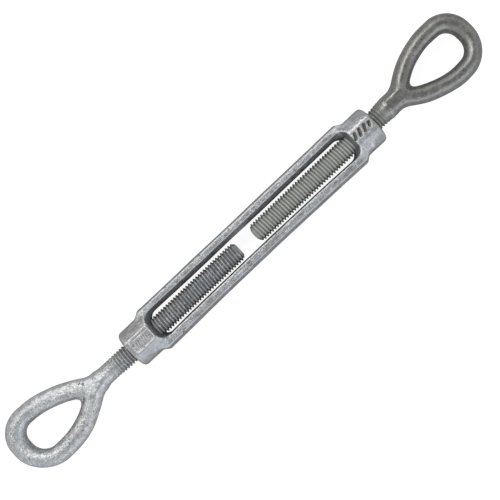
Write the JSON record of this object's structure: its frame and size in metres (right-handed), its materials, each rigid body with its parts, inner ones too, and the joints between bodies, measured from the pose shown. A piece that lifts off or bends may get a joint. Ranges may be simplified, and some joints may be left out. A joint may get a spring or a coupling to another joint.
{
  "type": "rigging turnbuckle",
  "caption": "Open-body rigging turnbuckle with a forged eye bolt in each end, one threaded right hand and one left hand, that draws two lines together as the body turns.",
  "frame": {"origin": "on the common axis of the two screws, half way between the tops of the two eyes, as the turnbuckle is set at rest", "axes": "+X along the screws towards the right-hand eye bolt; the two legs of the body and both eyes lie in the XY plane; +Z square to them, out of the side that carries the raised panel"},
  "size_m": [0.3596, 0.0408, 0.0221],
  "materials": {
    "body_steel": "hot-dip galvanised forging, satin blue-grey with bright worn edges",
    "right_bolt_steel": "hot-dip galvanised forging, darker olive grey with a soft gloss",
    "left_bolt_steel": "hot-dip galvanised forging, light mottled grey with fine pits"
  },
  "bodies": {
    "turnbuckle_body": {"turnbuckle_body": "body_steel"},
    "right_hand_screw_point": {"right_hand_screw_point": "right_bolt_steel"},
    "right_hand_eye_bolt": {"right_hand_eye_bolt": "right_bolt_steel"},
    "left_hand_screw_point": {"left_hand_screw_point": "left_bolt_steel"},
    "left_hand_eye_bolt": {"left_hand_eye_bolt": "left_bolt_steel"}
  },
  "joints": [
    {"name": "right_screw_feed", "type": "slide", "parent": "turnbuckle_body", "child": "right_hand_screw_point", "axis": [1, 0, 0], "range_m": [-0.00198, 0.07427]},
    {"name": "right_screw_turn", "type": "hinge", "parent": "right_hand_screw_point", "child": "right_hand_eye_bolt", "pos_m": [0.1, 0, 0], "axis": [1, 0, 0], "range_deg": [-360, 13680]},
    {"name": "left_screw_feed", "type": "slide", "parent": "turnbuckle_body", "child": "left_hand_screw_point", "axis": [-1, 0, 0], "range_m": [-0.00882, 0.06548]},
    {"name": "left_screw_turn", "type": "hinge", "parent": "left_hand_screw_point", "child": "left_hand_eye_bolt", "pos_m": [-0.11, 0, 0], "axis": [1, 0, 0], "range_deg": [-1620, 12060]}
  ],
  "couplings": [
    {"joint": "right_screw_feed", "follows": "right_screw_turn", "m_per_rad": 0.00031096},
    {"joint": "left_screw_feed", "follows": "left_screw_turn", "m_per_rad": 0.00031096}
  ]
}
